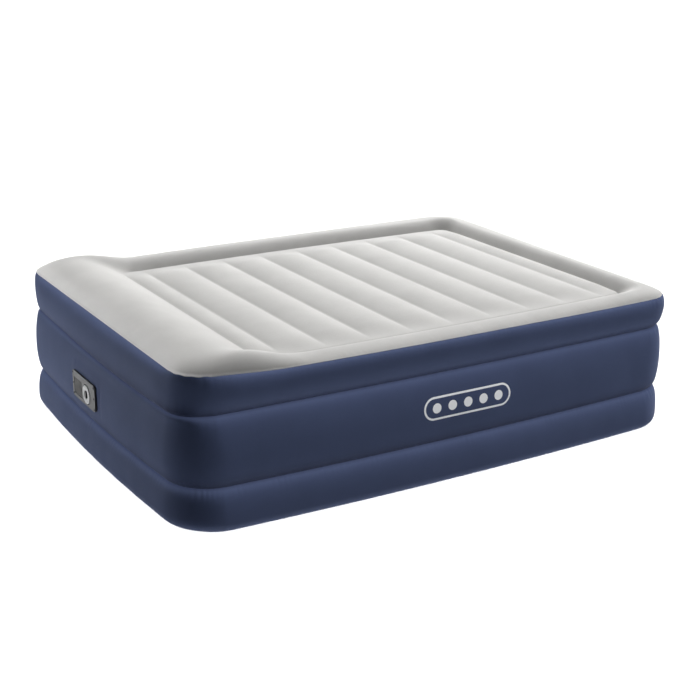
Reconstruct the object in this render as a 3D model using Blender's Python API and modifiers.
"""A raised double air mattress with a built-in mains pump, at its real size.

The bladder is an assembly of separate welded sheets: a flocked top sheet with a built-in pillow, edge rails
and cross channels, three side bands that meet at pinched seams, a bottom sheet, and the webs inside that hold
the shape when it is full of air. The pump sits in a tub in the head wall.

Frame: +X runs from the head to the foot, +Y to the sleeper's left, +Z up. The origin is on the floor, under
the middle of the bed.
"""

import math

import bmesh
import bpy
from mathutils import Matrix, Vector

# ---------------------------------------------------------------- driving dimensions, in metres
HEIGHT = 0.56
SHEET = 0.0006  # flocked PVC
WEB = 0.0005  # the reinforced PVC of the webs inside
GAP = 0.0003  # left between pieces that touch

# Plan outlines of the welded seams: height, half length, half width, corner radius, and each side's bow.
TOP_SEAM = dict(z=0.506, half_x=0.959, half_y=0.708, corner=0.095, bow_x=0.0, bow_y=0.0325)
SHOULDER_SEAM = dict(z=0.392, half_x=0.961, half_y=0.710, corner=0.100, bow_x=0.021, bow_y=0.017)
WAIST_SEAM = dict(z=0.1580, half_x=0.971, half_y=0.720, corner=0.129, bow_x=0.0285, bow_y=0.0285)
HEAD_RISE = 0.022  # the top seam climbs this much at the head, round the pillow
UPPER_BULGE = 0.010
MIDDLE_BULGE = 0.0135

# The sleeping area: the crease where the rails and the pillow meet the channels.
CREASE_HEAD_X = -0.650
CREASE_FOOT_X = 0.845
CREASE_Y = 0.568
CREASE_CORNER = 0.07
CREASE_Z = 0.478
CHANNEL_CROWN = 0.021
BEAMS = 9
BEAM_PITCH = 0.1635
BASE_WEBS = 5
BASE_WEB_REACH = 0.76
FIRST_BEAM_X = -0.5585
RAIL_CROWN = 0.036
PILLOW_CROWN = HEIGHT - 0.5045

# The built-in pump, in the head wall.
PUMP_Y = 0.027
PUMP_Z = 0.2595
PANEL_W = 0.212
PANEL_H = 0.094
WALL_X = -1.003  # the outer face of the wall where the pump is fitted
BEZEL_T = 0.006
GASKET_T = 0.001
TUB_W = 0.186
TUB_H = 0.080
TUB_DEPTH = 0.130
TUB_WALL = 0.0025
FLANGE_T = 0.0025
DIAL_Y = -0.001
DIAL_Z = PUMP_Z - 0.006
DIAL_R = 0.033
FLAP_R = 0.0195
FLAP_HINGE_Z = DIAL_Z + 0.0222
LID_Y0, LID_Y1 = 0.0430, 0.1155
LID_Z = PUMP_Z - 0.006
LID_HALF_H = 0.029
FAN_Y = 0.0805
SCREW_R = 0.0018
SCREW_LENGTH = 0.013
PIN_R = 0.0011
FLAP_PIN_R = 0.0010
SHAFT_R = 0.0040
PORT_R = 0.016
DRUM_R = 0.0265
SLEEVE_R = 0.0300
SCROLL_R = 0.0350
WHEEL_R = 0.0305
BLADES = 9
MOTOR_R = 0.0185
MOTOR_SHAFT_R = 0.0015
PLASTIC_WALL = 0.0015
OPENING_PLAY = 0.004  # how much wider the wall's opening is than the tub
OVERCUT = 0.01  # how far a cutter reaches past what it cuts

GASKET_X = WALL_X - GAP - GASKET_T
BEZEL_BACK_X = GASKET_X - GAP
BEZEL_FRONT_X = BEZEL_BACK_X - BEZEL_T
FLANGE_X = WALL_X + SHEET + GAP
TUB_BACK_X = FLANGE_X + TUB_DEPTH
HINGE_X = BEZEL_FRONT_X + 0.0028
HINGE_Y = LID_Y1 + 0.0005
HINGE_R = 0.0024
FAN_FRONT_X = FLANGE_X + 0.0520
FAN_BACK_X = FAN_FRONT_X + 0.0200
PUMP_AT = (PUMP_Y, PUMP_Z)
DIAL_AT = (DIAL_Y, DIAL_Z)

# Stations across the unit square that every outline shares. CORNER_FROM is where a rounded corner starts.
CORNER_FROM = 0.9
CORNER_STEPS = 3
HEAD_ROWS = [-0.80, -0.72, CREASE_HEAD_X]
BEAM_ROWS = [-0.505, -0.25, 0.0, 0.25, 0.505]
PUMP_ROWS = [PUMP_Y - 0.135, PUMP_Y + 0.135]
PUMP_LEVELS = [PUMP_Z - 0.062, PUMP_Z + 0.062]


# ---------------------------------------------------------------- materials
def material(name, colour, roughness, metallic=0.0):
    found = bpy.data.materials.get(name)
    if found:
        return found
    made = bpy.data.materials.new(name)
    made.use_nodes = True
    shader = made.node_tree.nodes["Principled BSDF"]
    shader.inputs["Base Color"].default_value = (*colour, 1.0)
    shader.inputs["Roughness"].default_value = roughness
    shader.inputs["Metallic"].default_value = metallic
    return made


def flock_grey():
    return material("flock_grey", (0.60, 0.59, 0.57), 0.95)


def flock_navy():
    return material("flock_navy", (0.058, 0.080, 0.160), 0.85)


def web_vinyl():
    return material("web_vinyl", (0.55, 0.57, 0.60), 0.5)


def dark_plastic():
    return material("dark_plastic", (0.045, 0.048, 0.052), 0.45)


def mid_plastic():
    return material("mid_plastic", (0.16, 0.165, 0.17), 0.4)


def light_plastic():
    return material("light_plastic", (0.50, 0.51, 0.52), 0.38)


def steel():
    return material("steel", (0.55, 0.56, 0.58), 0.3, 1.0)


def seal_rubber():
    return material("seal_rubber", (0.03, 0.03, 0.03), 0.8)


# ---------------------------------------------------------------- scene helpers
def clear_scene():
    for obj in list(bpy.data.objects):
        bpy.data.objects.remove(obj)


def collection(name):
    made = bpy.data.collections.new(name)
    bpy.context.scene.collection.children.link(made)
    return made


def new_object(name, data, mat=None, where=None):
    obj = bpy.data.objects.new(name, data)
    (where or PARTS).objects.link(obj)
    if mat:
        obj.data.materials.append(mat)
    return obj


def object_from_bmesh(name, bm, mat=None, where=None):
    bmesh.ops.recalc_face_normals(bm, faces=bm.faces)
    mesh = bpy.data.meshes.new(name)
    bm.to_mesh(mesh)
    bm.free()
    return new_object(name, mesh, mat, where)


def shade(obj, angle=35.0):
    obj.data.shade_smooth()
    obj.data.set_sharp_from_angle(angle=math.radians(angle))


def boolean(obj, cutter, operation="DIFFERENCE"):
    cut = obj.modifiers.new(operation.lower(), "BOOLEAN")
    cut.operation = operation
    cut.object = cutter
    cutter.hide_render = True
    cutter.display_type = "WIRE"


def joint_axis(name, point, pieces):
    """An empty on a joint's axis, which the pieces that move together hang from."""
    empty = new_object(name, None)
    empty.location = point
    for piece in pieces:
        piece.parent = empty
        piece.matrix_parent_inverse = Matrix.Translation(-Vector(point))


# ---------------------------------------------------------------- primitives
def box(name, x, y, z, mat=None, where=None):
    """A box between two values on each axis, placed by its middle."""
    bm = bmesh.new()
    bmesh.ops.create_cube(bm, size=1.0)
    bmesh.ops.scale(bm, vec=(x[1] - x[0], y[1] - y[0], z[1] - z[0]), verts=bm.verts)
    obj = object_from_bmesh(name, bm, mat, where)
    obj.location = (sum(x) / 2, sum(y) / 2, sum(z) / 2)
    return obj


def rod(name, start, end, radius, sides=24, mat=None, where=None):
    """A cylinder from one point to another."""
    start, end = Vector(start), Vector(end)
    bm = bmesh.new()
    bmesh.ops.create_cone(
        bm, cap_ends=True, segments=sides, radius1=radius, radius2=radius, depth=(end - start).length
    )
    obj = object_from_bmesh(name, bm, mat, where)
    turn = (end - start).to_track_quat("Z", "Y").to_matrix().to_4x4()
    obj.matrix_world = Matrix.Translation((start + end) / 2) @ turn
    return obj


def along_x(name, x0, x1, centre, radius, sides=24, mat=None, where=None):
    """A cylinder that lies along X, round a (y, z) centre."""
    return rod(name, (x0, *centre), (x1, *centre), radius, sides, mat, where)


def hinge_rod(name, reach, radius, sides, mat=None, where=None):
    """A cylinder on the lid's hinge line, reaching as far above the lid's middle as below it."""
    return rod(name, (HINGE_X, HINGE_Y, LID_Z - reach), (HINGE_X, HINGE_Y, LID_Z + reach), radius, sides, mat, where)


def rounded_rectangle(centre, width, height, radius, steps=4):
    """Points round a rectangle with round corners, as (y, z) pairs."""
    points = []
    for quarter, (sy, sz) in enumerate(((1, 1), (-1, 1), (-1, -1), (1, -1))):
        cy = centre[0] + sy * (width / 2 - radius)
        cz = centre[1] + sz * (height / 2 - radius)
        for k in range(steps + 1):
            turn = math.radians(90) * (quarter + k / steps)
            points.append((cy + radius * math.cos(turn), cz + radius * math.sin(turn)))
    return points


def circle(centre, radius, sides=24):
    turns = [2 * math.pi * k / sides for k in range(sides)]
    return [(centre[0] + radius * math.cos(t), centre[1] + radius * math.sin(t)) for t in turns]


def flat_plate(name, loops, thickness, mat=None, where=None):
    """A 2D curve in its own XY plane with an outline and any holes, as thick as asked."""
    curve = bpy.data.curves.new(name, "CURVE")
    curve.dimensions = "2D"
    curve.fill_mode = "BOTH"
    curve.extrude = thickness / 2
    for loop in loops:
        spline = curve.splines.new("POLY")
        spline.points.add(len(loop) - 1)
        for point, (u, v) in zip(spline.points, loop):
            point.co = (u, v, 0.0, 1.0)
        spline.use_cyclic_u = True
    return new_object(name, curve, mat, where)


def standing_plate(name, loops, x0, x1, mat=None, where=None):
    """A flat plate that faces along X, between x0 and x1. Its loops are (y, z) pairs."""
    plate = flat_plate(name, loops, x1 - x0, mat, where)
    plate.matrix_world = Matrix.Translation(((x0 + x1) / 2, 0, 0)) @ Matrix(
        ((0, 0, 1, 0), (1, 0, 0, 0), (0, 1, 0, 0), (0, 0, 0, 1))
    )
    return plate


def as_mesh(obj):
    """The curve object made a closed mesh, so that a Boolean can use it."""
    bpy.context.view_layer.update()
    graph = bpy.context.evaluated_depsgraph_get()
    mesh = bpy.data.meshes.new_from_object(obj.evaluated_get(graph))
    bm = bmesh.new()
    bm.from_mesh(mesh)
    bmesh.ops.remove_doubles(bm, verts=bm.verts, dist=1e-6)
    bm.to_mesh(mesh)
    bm.free()
    name, world, where = obj.name, obj.matrix_world.copy(), obj.users_collection[0]
    bpy.data.objects.remove(obj)
    made = bpy.data.objects.new(name, mesh)
    where.objects.link(made)
    made.matrix_world = world
    return made


def turned(name, profile, axis_point, mat=None, sides=24):
    """A solid turned about a line along X. The profile is (distance along X, radius), down its outer side."""
    bm = bmesh.new()
    verts = [bm.verts.new((radius, 0.0, along)) for along, radius in profile]
    for a, b in zip(verts, verts[1:]):
        bm.edges.new((a, b))
    mesh = bpy.data.meshes.new(name)
    bm.to_mesh(mesh)
    bm.free()
    obj = new_object(name, mesh, mat)
    screw = obj.modifiers.new("turn", "SCREW")
    screw.axis = "Z"
    screw.steps = screw.render_steps = sides
    screw.use_merge_vertices = True
    screw.merge_threshold = 1e-5
    obj.matrix_world = Matrix.Translation(axis_point) @ Matrix.Rotation(math.radians(90), 4, "Y")
    return obj


# ---------------------------------------------------------------- plan outlines
def smooth(value, low, high):
    t = min(1.0, max(0.0, (value - low) / (high - low)))
    return t * t * (3 - 2 * t)


def along_half(fraction, half, corner):
    """Where a station lies on one half axis. Stations past CORNER_FROM share out the rounded corner."""
    size = abs(fraction)
    if size <= CORNER_FROM:
        return math.copysign((half - corner) * size / CORNER_FROM, fraction)
    share = (size - CORNER_FROM) / (1 - CORNER_FROM)
    return math.copysign(half - corner + corner * share, fraction)


def plan_point(seam, fx, fy):
    """A station of the unit square, placed in a seam's rounded and bowed outline."""
    p = along_half(fx, seam["half_x"], seam["corner"])
    q = along_half(fy, seam["half_y"], seam["corner"])
    over_x = abs(p) - (seam["half_x"] - seam["corner"])
    over_y = abs(q) - (seam["half_y"] - seam["corner"])
    if over_x > 0 and over_y > 0:
        a, b = over_x / seam["corner"], over_y / seam["corner"]
        p = math.copysign(abs(p) - over_x + over_x * math.sqrt(1 - b * b / 2), p)
        q = math.copysign(abs(q) - over_y + over_y * math.sqrt(1 - a * a / 2), q)
    return bowed(seam, p, q)


def bowed(seam, p, q):
    bow_x = seam["bow_x"] * (1 - (q / seam["half_y"]) ** 2) / seam["half_x"]
    bow_y = seam["bow_y"] * (1 - (p / seam["half_x"]) ** 2) / seam["half_y"]
    return seam.get("centre_x", 0.0) + p * (1 + bow_x), q * (1 + bow_y)


def unbowed(seam, x, y):
    """The reverse of bowed, near enough for these shallow bows."""
    p, q = x, y
    for _ in range(4):
        bx, by = bowed(seam, p, q)
        p, q = p + x - bx, q + y - by
    return p, q


def widened(seam, by, z):
    """The outline moved out all round, at another height."""
    return dict(seam, half_x=seam["half_x"] + by, half_y=seam["half_y"] + by, corner=seam["corner"] + by, z=z)


def between(low, high, share):
    return {key: low[key] + (high[key] - low[key]) * share for key in low}


def top_length_stations():
    """Stations along the top sheet: on each beam, on each channel's crown, and over the pillow."""
    beams = [FIRST_BEAM_X + BEAM_PITCH * k for k in range(BEAMS)]
    crowns = [x + BEAM_PITCH / 2 for x in beams[:-1]]
    return stations_at(HEAD_ROWS + beams + crowns + [CREASE_FOOT_X], TOP_SEAM["half_x"])


def top_width_stations():
    return stations_at([-CREASE_Y, *BEAM_ROWS, CREASE_Y], TOP_SEAM["half_y"])


def stations_at(places, half):
    """The stations at these distances from the middle, with the two rounded corners at the ends."""
    middle = sorted(place / (half - TOP_SEAM["corner"]) * CORNER_FROM for place in places)
    corner = [CORNER_FROM + (1 - CORNER_FROM) * k / CORNER_STEPS for k in range(CORNER_STEPS + 1)]
    return [-f for f in reversed(corner)] + middle + corner


def ring_stations():
    """The unit square's edge, anticlockwise from above. The wall is flat between the stations by the pump."""
    xs = stations_at(HEAD_ROWS + [-0.20, 0.20, 0.58], TOP_SEAM["half_x"])
    ys = stations_at([-0.42, *PUMP_ROWS, 0.42], TOP_SEAM["half_y"])
    ring = [(x, -1.0) for x in xs[:-1]] + [(1.0, y) for y in ys[:-1]]
    ring += [(x, 1.0) for x in reversed(xs[1:])] + [(-1.0, y) for y in reversed(ys[1:])]
    return ring


def head_rise(x):
    return HEAD_RISE * smooth(-x, 0.64, 0.92)


# ---------------------------------------------------------------- the top sheet's height
def rounded_distance(p, q, centre_x, half_x, half_y, corner):
    """Distance outside (positive) or inside (negative) a rounded rectangle."""
    dx = abs(p - centre_x) - (half_x - corner)
    dy = abs(q) - (half_y - corner)
    outside = math.hypot(max(dx, 0.0), max(dy, 0.0))
    return outside + min(max(dx, dy), 0.0) - corner


def channel_height(p, q, inside):
    """The crown of the channels, with the valleys that the beams hold down fading out before the ends."""
    walls = [CREASE_HEAD_X] + [FIRST_BEAM_X + BEAM_PITCH * k for k in range(BEAMS)] + [CREASE_FOOT_X]
    crown = CHANNEL_CROWN
    for low, high in zip(walls, walls[1:]):
        if low <= p <= high:
            share = (p - low) / (high - low)
            fullness = min(1.0, (high - low) / BEAM_PITCH + 0.1)
            crown = CHANNEL_CROWN * math.sin(math.pi * share) ** 0.7 * fullness
    held = smooth(CREASE_Y - abs(q), 0.004, 0.055)
    level = CHANNEL_CROWN * 0.72 * (1 - held) + crown * held
    return CREASE_Z + level * min(1.0, inside / 0.03) ** 0.5


def top_height(x, y):
    p, q = unbowed(TOP_SEAM, x, y)
    centre = (CREASE_HEAD_X + CREASE_FOOT_X) / 2
    half = (CREASE_FOOT_X - CREASE_HEAD_X) / 2
    to_crease = rounded_distance(p, q, centre, half, CREASE_Y, CREASE_CORNER)
    if to_crease <= 0:
        return channel_height(p, q, -to_crease)
    to_seam = -rounded_distance(p, q, 0.0, TOP_SEAM["half_x"], TOP_SEAM["half_y"], TOP_SEAM["corner"])
    share = to_crease / (to_crease + max(to_seam, 0.0))
    pillow = smooth(-p, 0.56, 0.72)
    crown = RAIL_CROWN + (PILLOW_CROWN - RAIL_CROWN) * pillow
    base = CREASE_Z + (TOP_SEAM["z"] + head_rise(p) - CREASE_Z) * share
    return base + crown * max(0.0, math.sin(math.pi * share)) ** (0.6 + 0.15 * pillow)


# ---------------------------------------------------------------- the bladder's sheets
def solidify(obj, thickness, offset):
    shell = obj.modifiers.new("thickness", "SOLIDIFY")
    shell.thickness = thickness
    shell.offset = offset
    shell.use_even_offset = False


def build_top_sheet():
    """One flocked sheet: a grid laid over the bed, with its edge on the top seam."""
    xs, ys = top_length_stations(), top_width_stations()
    bm = bmesh.new()
    bmesh.ops.create_grid(bm, x_segments=len(xs) - 1, y_segments=len(ys) - 1, size=1.0)
    for vert in bm.verts:
        column = round((vert.co.x + 1) / 2 * (len(xs) - 1))
        row = round((vert.co.y + 1) / 2 * (len(ys) - 1))
        x, y = plan_point(TOP_SEAM, xs[column], ys[row])
        on_edge = column in (0, len(xs) - 1) or row in (0, len(ys) - 1)
        height = TOP_SEAM["z"] + head_rise(x) if on_edge else top_height(x, y)
        vert.co = (x, y, height + GAP / 2)
    sheet = object_from_bmesh("top_sheet", bm, flock_grey())
    solidify(sheet, SHEET, 1.0)
    shade(sheet, 60)


def loft(name, outlines, mat, thickness, offset=-1.0):
    """A band of sheet through outlines that share their stations, the lowest first."""
    ring = ring_stations()
    bm = bmesh.new()
    loops = []
    for outline in outlines:
        verts = []
        for fx, fy in ring:
            x, y = plan_point(outline, fx, fy)
            verts.append(bm.verts.new((x, y, outline["z"] + outline.get("rise", 0.0) * head_rise(x))))
        loops.append([bm.edges.new((a, b)) for a, b in zip(verts, verts[1:] + verts[:1])])
    for low, high in zip(loops, loops[1:]):
        bmesh.ops.bridge_loops(bm, edges=low + high)
    band = object_from_bmesh(name, bm, mat)
    solidify(band, thickness, offset)
    shade(band, 60)
    return band


def bulged(low, high, bulge, shares, power=0.75):
    """Outlines between two seams, pushed out by the air between them."""
    outlines = []
    for share in shares:
        level = between(low, high, share)
        push = bulge * max(0.0, math.sin(math.pi * share)) ** power
        outlines.append(widened(level, push, level["z"]))
    return outlines


def flatten_for_pump(band):
    """The wall is pulled flat where the pump is fitted."""
    for vert in band.data.vertices:
        by_pump_y = PUMP_ROWS[0] - 0.01 < vert.co.y < PUMP_ROWS[1] + 0.01
        by_pump_z = PUMP_LEVELS[0] - 0.001 < vert.co.z < PUMP_LEVELS[1] + 0.001
        if vert.co.x < 0 and by_pump_y and by_pump_z:
            vert.co.x = WALL_X


def build_side_bands():
    edge = 1.5 * GAP + WEB / 2  # half of a web that is welded into the seam, and a gap
    foot_of_upper = dict(SHOULDER_SEAM, z=SHOULDER_SEAM["z"] + edge, rise=0.0)
    head_of_upper = dict(TOP_SEAM, z=TOP_SEAM["z"] - GAP / 2, rise=1.0)
    upper = bulged(foot_of_upper, head_of_upper, UPPER_BULGE, (0.0, 0.2, 0.5, 0.8, 1.0))
    loft("upper_side_band", upper, flock_navy(), SHEET)

    low, high = WAIST_SEAM["z"] + edge, SHOULDER_SEAM["z"] - edge
    levels = [low, 0.180, *PUMP_LEVELS, 0.375, high]
    shares = [(z - low) / (high - low) for z in levels]
    middle = bulged(dict(WAIST_SEAM, z=low), dict(SHOULDER_SEAM, z=high), MIDDLE_BULGE, shares)
    wall = loft("middle_side_band", middle, flock_navy(), SHEET)
    flatten_for_pump(wall)

    base_profile = (
        (0.0, -0.036),
        (0.003, -0.019),
        (0.018, -0.002),
        (0.050, 0.0095),
        (0.090, MIDDLE_BULGE),
        (0.140, 0.0095),
        (WAIST_SEAM["z"] - edge, 0.0),
    )
    loft("base_side_band", [widened(WAIST_SEAM, out, z) for z, out in base_profile], flock_navy(), SHEET)
    return wall


def seam_points(outline, inward):
    smaller = widened(outline, -inward, outline["z"])
    return [plan_point(smaller, fx, fy) for fx, fy in ring_stations()]


def build_bottom_sheet():
    points = seam_points(widened(WAIST_SEAM, -0.036, 0.0), GAP * 2)
    sheet = flat_plate("bottom_sheet", [points], SHEET, flock_navy())
    sheet.location.z = SHEET / 2


def build_waist_sheet():
    """The level sheet at the waist seam, between the base and the upper chamber, with air ports."""
    ports = [circle((x, y), 0.055, 16) for x in (-0.54, 0.54) for y in (-0.36, 0.36)]
    sheet = flat_plate("waist_sheet", [seam_points(WAIST_SEAM, 0.0)] + ports, WEB, web_vinyl())
    sheet.location.z = WAIST_SEAM["z"]


def build_edge_tie():
    """The sloping web that ties the shoulder seam to the crease, and so makes the rails and the pillow."""
    crease = dict(
        z=CREASE_Z - 2 * SHEET - 2 * GAP,
        half_x=(CREASE_FOOT_X - CREASE_HEAD_X) / 2,
        half_y=CREASE_Y,
        corner=CREASE_CORNER,
        bow_x=0.0,
        bow_y=TOP_SEAM["bow_y"] * 0.8,
        centre_x=(CREASE_HEAD_X + CREASE_FOOT_X) / 2,
    )
    rim = widened(dict(SHOULDER_SEAM, centre_x=0.0), -0.001, SHOULDER_SEAM["z"])
    loft("edge_tie_web", [rim, crease], web_vinyl(), WEB, 0.0)


# ---------------------------------------------------------------- the webs inside
def upright_web(name, x, rows, bottom, port_rows, port_radius):
    """A web across the bed. rows are (y, top height), and each port lets air through."""
    outline = [(y, bottom) for y in (rows[0][0], rows[-1][0])] + [(y, z) for y, z in reversed(rows)]
    height = (bottom + rows[len(rows) // 2][1]) / 2
    ports = [circle((y, height), port_radius, 12) for y in port_rows]
    standing_plate(name, [outline] + ports, x - WEB / 2, x + WEB / 2, web_vinyl())


def build_cross_beams():
    """One web under each valley of the top sheet, from the waist sheet up. They stop short of the rails."""
    bottom = WAIST_SEAM["z"] + WEB / 2 + GAP
    for k in range(BEAMS):
        x = FIRST_BEAM_X + BEAM_PITCH * k
        places = [bowed(TOP_SEAM, x, q) for q in BEAM_ROWS]
        rows = [(y, top_height(x, y) - GAP) for _, y in places]
        upright_web(f"cross_beam_{k + 1}", x, rows, bottom, (-0.32, 0.0, 0.32), 0.05)


def build_base_webs():
    """Webs in the base, from the bottom sheet to the waist sheet."""
    for k in range(BASE_WEBS):
        x = BASE_WEB_REACH * (2 * k / (BASE_WEBS - 1) - 1)
        top = WAIST_SEAM["z"] - WEB / 2 - GAP
        rows = [(y, top) for y in (-0.60, 0.0, 0.60)]
        upright_web(f"base_web_{k + 1}", x, rows, SHEET + GAP, (-0.30, 0.30), 0.03)


# ---------------------------------------------------------------- the pump
def panel_screws():
    """Three screws down each short edge of the panel."""
    reach = PANEL_W / 2 - 0.0075
    return [(PUMP_Y + side * reach, PUMP_Z + step * 0.0380) for side in (-1, 1) for step in (-1, 0, 1)]


def screw_holes(radius):
    return [circle(centre, radius, 12) for centre in panel_screws()]


def cut_wall_for_pump(wall):
    """The opening for the tub, and the screw holes beside it, cut in one go."""
    window = rounded_rectangle(PUMP_AT, TUB_W + OPENING_PLAY, TUB_H + OPENING_PLAY, 0.010)
    loops = [window] + screw_holes(SCREW_R + GAP * 2)
    cutter = standing_plate("wall_cutter", loops, WALL_X - OVERCUT, WALL_X + OVERCUT, where=CUTTERS)
    boolean(wall, as_mesh(cutter))


def lid_window():
    """The lid's window in the bezel, with room beside it for the hinge barrel."""
    y0, y1 = LID_Y0 - 0.0008, HINGE_Y + 0.0038
    centre = ((y0 + y1) / 2, LID_Z)
    return rounded_rectangle(centre, y1 - y0, 2 * LID_HALF_H + 0.0016, 0.0012, 2)


def build_bezel():
    loops = [rounded_rectangle(PUMP_AT, PANEL_W, PANEL_H, 0.012, 5), lid_window()]
    loops += [circle((DIAL_Y, DIAL_Z), DIAL_R + 0.0025, 36)] + screw_holes(SCREW_R + GAP * 2)
    bezel = as_mesh(standing_plate("pump_bezel", loops, BEZEL_FRONT_X, BEZEL_BACK_X, dark_plastic()))
    bore = hinge_rod("pin_bore_cutter", LID_HALF_H + 0.006, PIN_R + GAP, 16, where=CUTTERS)
    boolean(bezel, bore)
    shade(bezel)


def build_gasket_and_collar():
    hole = rounded_rectangle(PUMP_AT, TUB_W + OPENING_PLAY, TUB_H + OPENING_PLAY, 0.010)
    outer = rounded_rectangle(PUMP_AT, PANEL_W - 0.003, PANEL_H - 0.003, 0.011)
    loops = [outer, hole] + screw_holes(SCREW_R + GAP * 2)
    standing_plate("panel_gasket", loops, GASKET_X, GASKET_X + GASKET_T, seal_rubber())
    flange_edge = rounded_rectangle(PUMP_AT, PANEL_W + 0.0012, PANEL_H + 0.0012, 0.0126)
    collar_edge = rounded_rectangle(PUMP_AT, PANEL_W + 0.020, PANEL_H + 0.016, 0.018)
    standing_plate("weld_collar", [collar_edge, flange_edge], FLANGE_X, FLANGE_X + 0.001, web_vinyl())


def build_tub():
    """The sealed tub that the pump sits in, with its screw flange, open only to the front and at the port."""
    flange = as_mesh(
        standing_plate(
            "pump_tub",
            [rounded_rectangle(PUMP_AT, PANEL_W, PANEL_H, 0.012)] + screw_holes(SCREW_R + GAP),
            FLANGE_X,
            FLANGE_X + FLANGE_T,
            mid_plastic(),
        )
    )
    outer = rounded_rectangle(PUMP_AT, TUB_W, TUB_H, 0.006)
    inner = rounded_rectangle(PUMP_AT, TUB_W - 2 * TUB_WALL, TUB_H - 2 * TUB_WALL, 0.004)
    body = as_mesh(standing_plate("tub_body", [outer], FLANGE_X + 0.001, TUB_BACK_X, where=CUTTERS))
    cavity = as_mesh(
        standing_plate("tub_cavity", [inner], FLANGE_X - OVERCUT, TUB_BACK_X - TUB_WALL, where=CUTTERS)
    )
    port = along_x("tub_port", TUB_BACK_X - OVERCUT, TUB_BACK_X + OVERCUT, DIAL_AT, PORT_R, 24,
               where=CUTTERS)
    boolean(flange, body, "UNION")
    boolean(flange, cavity)
    boolean(flange, port)
    shade(flange)


def build_screws():
    """Six pan-head screws through the bezel, the wall and the tub's flange."""
    head_back = BEZEL_FRONT_X - GAP
    profile = (
        (SCREW_LENGTH, 0.0),
        (SCREW_LENGTH - 0.002, SCREW_R),
        (0.0, SCREW_R),
        (0.0, 0.0034),
        (-0.0013, 0.0028),
        (-0.0018, 0.0),
    )
    for k, (y, z) in enumerate(panel_screws()):
        turned(f"panel_screw_{k + 1}", profile, (head_back, y, z), steel(), 12)


def build_lid():
    """The lid over the cord compartment: a thin plate with a rib, a thumb notch and a hinge barrel."""
    plate_back = BEZEL_FRONT_X + 0.0030
    plate_front = BEZEL_FRONT_X + 0.0006
    edge, deep = LID_Y0 - 0.001, LID_Y0 + 0.005
    notch = [(edge, LID_Z + 0.009), (edge, LID_Z - 0.009), (deep, LID_Z - 0.006), (deep, LID_Z + 0.006)]
    width = HINGE_Y - LID_Y0
    outline = rounded_rectangle((LID_Y0 + width / 2, LID_Z), width, 2 * LID_HALF_H, 0.0012, 2)
    lid = as_mesh(standing_plate("cord_lid", [outline], plate_front, plate_back, dark_plastic()))
    barrel = hinge_rod("lid_barrel", LID_HALF_H - 0.0012, HINGE_R, 16, where=CUTTERS)
    bore = hinge_rod("lid_bore", LID_HALF_H + OVERCUT, PIN_R + GAP, 16, where=CUTTERS)
    notch_cutter = standing_plate("lid_notch", [notch], plate_front - OVERCUT, plate_back + OVERCUT, where=CUTTERS)
    thumb = as_mesh(notch_cutter)
    boolean(lid, barrel, "UNION")
    boolean(lid, bore)
    boolean(lid, thumb)
    shade(lid)
    hinge_rod("lid_pin", LID_HALF_H + 0.005, PIN_R, 12, steel())
    joint_axis("lid_axis", (HINGE_X, HINGE_Y, LID_Z), [lid])


def build_cord_box():
    """The compartment for the cord, an open box behind the lid, with the cord's gland in its floor."""
    front, back = FLANGE_X - 0.002, FLANGE_X + 0.047
    y0, y1 = LID_Y0 - 0.0025, LID_Y1
    half = LID_HALF_H + 0.0010
    tray = box("cord_box", (front, back), (y0, y1), (LID_Z - half, LID_Z + half), mid_plastic())
    wall = PLASTIC_WALL
    inside = LID_HALF_H - 0.0005
    room_x, room_y = (front - OVERCUT, back - wall), (y0 + wall, y1 - wall)
    room = box("cord_room", room_x, room_y, (LID_Z - inside, LID_Z + inside), where=CUTTERS)
    gland_y, gland_z = y1 - 0.014, LID_Z - 0.018
    hole = along_x("gland_hole", back - OVERCUT, back + OVERCUT, (gland_y, gland_z), 0.0055, 20,
               where=CUTTERS)
    boolean(tray, room)
    boolean(tray, hole)
    profile = (
        (0.0045, 0.0),
        (0.0045, 0.0050),
        (0.0, 0.0050),
        (0.0, 0.0070),
        (-0.0020, 0.0066),
        (-0.0090, 0.0042),
        (-0.0092, 0.0),
    )
    turned("cord_gland", profile, (back - wall - GAP - 0.0002, gland_y, gland_z), seal_rubber(), 20)


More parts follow.
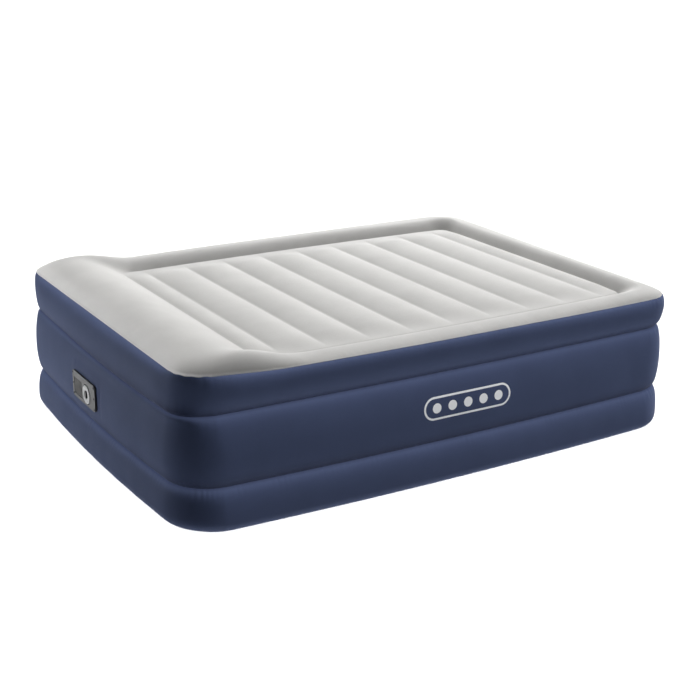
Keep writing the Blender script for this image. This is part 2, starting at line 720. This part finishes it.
def build_dial():
    """The selector dial, with a pinch grip in a dark well, its shaft and the air selector drum on it."""
    front = BEZEL_FRONT_X - 0.0008
    profile = (
        (0.0045, 0.0044),
        (0.0045, DIAL_R - 0.002),
        (0.0, DIAL_R),
        (-0.0012, DIAL_R - 0.0008),
        (-0.0018, DIAL_R - 0.003),
        (-0.0018, 0.0165),
        (0.0022, 0.0150),
        (0.0022, 0.0044),
        (0.0045, 0.0044),
    )
    dial = turned("selector_dial", profile, (front, DIAL_Y, DIAL_Z), light_plastic(), 36)
    grip = as_mesh(
        standing_plate(
            "dial_grip",
            [rounded_rectangle((DIAL_Y, DIAL_Z), 0.0090, 0.0270, 0.0042, 4)],
            front - 0.0030,
            front + 0.0022 - GAP,
            dark_plastic(),
        )
    )
    shade(grip)
    shaft_back = FLANGE_X + 0.052
    shaft = along_x("selector_shaft", front + 0.0022 + GAP, shaft_back, DIAL_AT, SHAFT_R, 16, steel())
    drum_front, drum_back = FLANGE_X + 0.016, FLANGE_X + 0.042
    drum = along_x("selector_drum", drum_front, drum_back, DIAL_AT, DRUM_R, 32, light_plastic())
    bore = along_x("drum_bore", drum_front - OVERCUT, drum_back + OVERCUT, DIAL_AT, SHAFT_R + 0.0004, 16,
               where=CUTTERS)
    window = box("drum_window", (drum_front + 0.004, drum_back - 0.004), (DIAL_Y + 0.008, DIAL_Y + 0.04),
                 (DIAL_Z - 0.010, DIAL_Z + 0.010), where=CUTTERS)
    boolean(drum, bore)
    boolean(drum, window)
    shade(drum)
    joint_axis("dial_axis", (front, DIAL_Y, DIAL_Z), [dial, grip, shaft, drum])


def build_valve_body():
    """The sleeve that the selector drum turns in, with a port to the fan and one to the bladder."""
    front, back = FLANGE_X + 0.014, FLANGE_X + 0.046
    sleeve = along_x("valve_body", front, back, DIAL_AT, SLEEVE_R, 32, mid_plastic())
    room = along_x("valve_room", front - OVERCUT, back - 0.002, DIAL_AT, SLEEVE_R - 0.0025, 32,
               where=CUTTERS)
    side = box("valve_side_port", (front + 0.006, back - 0.006), (DIAL_Y + 0.02, DIAL_Y + 0.04),
               (DIAL_Z - 0.009, DIAL_Z + 0.009), where=CUTTERS)
    rear = along_x("valve_rear_port", back - 0.02, back + OVERCUT, DIAL_AT, 0.0120, 24,
               where=CUTTERS)
    boolean(sleeve, room)
    boolean(sleeve, side)
    boolean(sleeve, rear)
    shade(sleeve)


def build_fan():
    """The blower: a scroll round an impeller, on the shaft of a motor behind it."""
    centre = (FAN_Y, PUMP_Z)
    scroll = along_x("fan_scroll", FAN_FRONT_X, FAN_BACK_X, centre, SCROLL_R, 40, mid_plastic())
    room_x = (FAN_FRONT_X + PLASTIC_WALL, FAN_BACK_X - PLASTIC_WALL)
    room = along_x("scroll_room", *room_x, centre, SCROLL_R - PLASTIC_WALL, 40, where=CUTTERS)
    inlet = along_x("scroll_inlet", FAN_FRONT_X - OVERCUT, FAN_FRONT_X + OVERCUT, centre, 0.0150, 24,
                where=CUTTERS)
    shaft_hole = along_x("scroll_shaft_hole", FAN_BACK_X - OVERCUT, FAN_BACK_X + OVERCUT, centre, 0.0050, 16,
                     where=CUTTERS)
    outlet = box("scroll_outlet", (FAN_FRONT_X + 0.004, FAN_BACK_X - 0.004), (FAN_Y - 0.045, FAN_Y - 0.020),
                 (PUMP_Z - 0.008, PUMP_Z + 0.008), where=CUTTERS)
    for cutter in (room, inlet, shaft_hole, outlet):
        boolean(scroll, cutter)
    shade(scroll)
    wheel = build_impeller(centre)
    motor_front = FAN_BACK_X + 0.0015
    motor_back = TUB_BACK_X - TUB_WALL - 0.0030
    profile = (
        (motor_back, 0.0),
        (motor_back, MOTOR_R - 0.0025),
        (motor_back - 0.0025, MOTOR_R),
        (motor_front + 0.002, MOTOR_R),
        (motor_front, MOTOR_R - 0.002),
        (motor_front, 0.0022),
        (motor_front + 0.010, 0.0022),
        (motor_front + 0.010, 0.0),
    )
    turned("motor", profile, (0.0, *centre), steel(), 24)
    shaft_x = (FAN_FRONT_X + 0.0030, motor_front + 0.0090)
    shaft = along_x("motor_shaft", *shaft_x, centre, MOTOR_SHAFT_R, 12, steel())
    standing_plate(
        "motor_cradle",
        [rounded_rectangle(centre, 0.0500, 0.0700, 0.004), circle(centre, 0.0190, 24)],
        FAN_BACK_X + 0.012,
        FAN_BACK_X + 0.015,
        mid_plastic(),
    )
    joint_axis("fan_axis", (FAN_FRONT_X, *centre), [wheel, shaft])


def build_impeller(centre):
    """A back plate, a hub and swept blades, in one moulding."""
    plate_back = FAN_BACK_X - 0.0030
    plate_front = plate_back - 0.0015
    blade_front = FAN_FRONT_X + 0.0035
    wheel = along_x("impeller", plate_front, plate_back, centre, WHEEL_R, 32, light_plastic())
    hub = along_x("impeller_hub", blade_front + 0.001, plate_back - 0.0004, centre, 0.0055, 16,
              where=CUTTERS)
    boolean(wheel, hub, "UNION")
    for k in range(BLADES):
        turn = Matrix.Rotation(2 * math.pi * k / BLADES, 4, "X")
        lean = Matrix.Rotation(math.radians(35), 4, "X")
        middle = Matrix.Translation((0, 0.0215, 0))
        blade_back = plate_front + 0.0007
        blade = box(f"impeller_blade_{k}", (blade_front, blade_back), (-0.0075, 0.0075), (-0.0006, 0.0006),
                    where=CUTTERS)
        hub_middle = Matrix.Translation(((blade_front + blade_back) / 2, *centre))
        blade.matrix_world = hub_middle @ turn @ middle @ lean
        boolean(wheel, blade, "UNION")
    bore_x = (FAN_FRONT_X - OVERCUT, FAN_BACK_X + OVERCUT)
    bore = along_x("impeller_bore", *bore_x, centre, MOTOR_SHAFT_R + GAP, 12, where=CUTTERS)
    boolean(wheel, bore)
    shade(wheel)
    return wheel


def build_check_flap():
    """The one-way flap over the port: it swings into the bladder when the fan blows, and springs shut."""
    x0 = TUB_BACK_X + GAP
    tongue = 0.0060
    disc = [(DIAL_Y + FLAP_R * math.sin(t), DIAL_Z + FLAP_R * math.cos(t)) for t in flap_turns()]
    outline = disc + [(DIAL_Y - tongue, FLAP_HINGE_Z), (DIAL_Y + tongue, FLAP_HINGE_Z)]
    flap = as_mesh(standing_plate("check_flap", [outline], x0, x0 + 0.0015, seal_rubber()))
    hinge_x = x0 + 0.0024
    half = 0.0068
    barrel = flap_rod("flap_barrel", hinge_x, half, 0.0021, 14, where=CUTTERS)
    bore = flap_rod("flap_bore", hinge_x, half + OVERCUT, FLAP_PIN_R + GAP, 14, where=CUTTERS)
    boolean(flap, barrel, "UNION")
    boolean(flap, bore)
    shade(flap)
    flap_rod("flap_pin", hinge_x, 0.0115, FLAP_PIN_R, 12, steel())
    joint_axis("flap_axis", (hinge_x, DIAL_Y, FLAP_HINGE_Z), [flap])


def flap_rod(name, x, reach, radius, sides, mat=None, where=None):
    """A cylinder on the flap's hinge line, reaching as far to one side of the dial's middle as to the other."""
    start, end = (x, DIAL_Y - reach, FLAP_HINGE_Z), (x, DIAL_Y + reach, FLAP_HINGE_Z)
    return rod(name, start, end, radius, sides, mat, where)


def flap_turns():
    """Round the flap's disc from one side of its hinge tongue to the other."""
    first = math.radians(24)
    steps = 24
    return [first + (2 * math.pi - 2 * first) * k / steps for k in range(steps + 1)]


def build_rotary_switch():
    """The switch on the selector shaft, which starts the motor at either end of the dial's turn."""
    front = FLANGE_X + 0.052 + GAP
    switch = box("rotary_switch", (front, front + 0.012), (DIAL_Y - 0.013, DIAL_Y + 0.013),
                 (DIAL_Z - 0.013, DIAL_Z + 0.013), mid_plastic())
    bevel = switch.modifiers.new("edges", "BEVEL")
    bevel.width = 0.001
    bevel.segments = 1


def build_pump(wall):
    cut_wall_for_pump(wall)
    build_bezel()
    build_gasket_and_collar()
    build_tub()
    build_screws()
    build_lid()
    build_cord_box()
    build_dial()
    build_valve_body()
    build_fan()
    build_check_flap()
    build_rotary_switch()


def main():
    build_top_sheet()
    middle_band = build_side_bands()
    build_bottom_sheet()
    build_waist_sheet()
    build_edge_tie()
    build_cross_beams()
    build_base_webs()
    build_pump(middle_band)


clear_scene()
PARTS = collection("air_mattress")
CUTTERS = collection("air_mattress_cutters")
CUTTERS.hide_render = True
main()
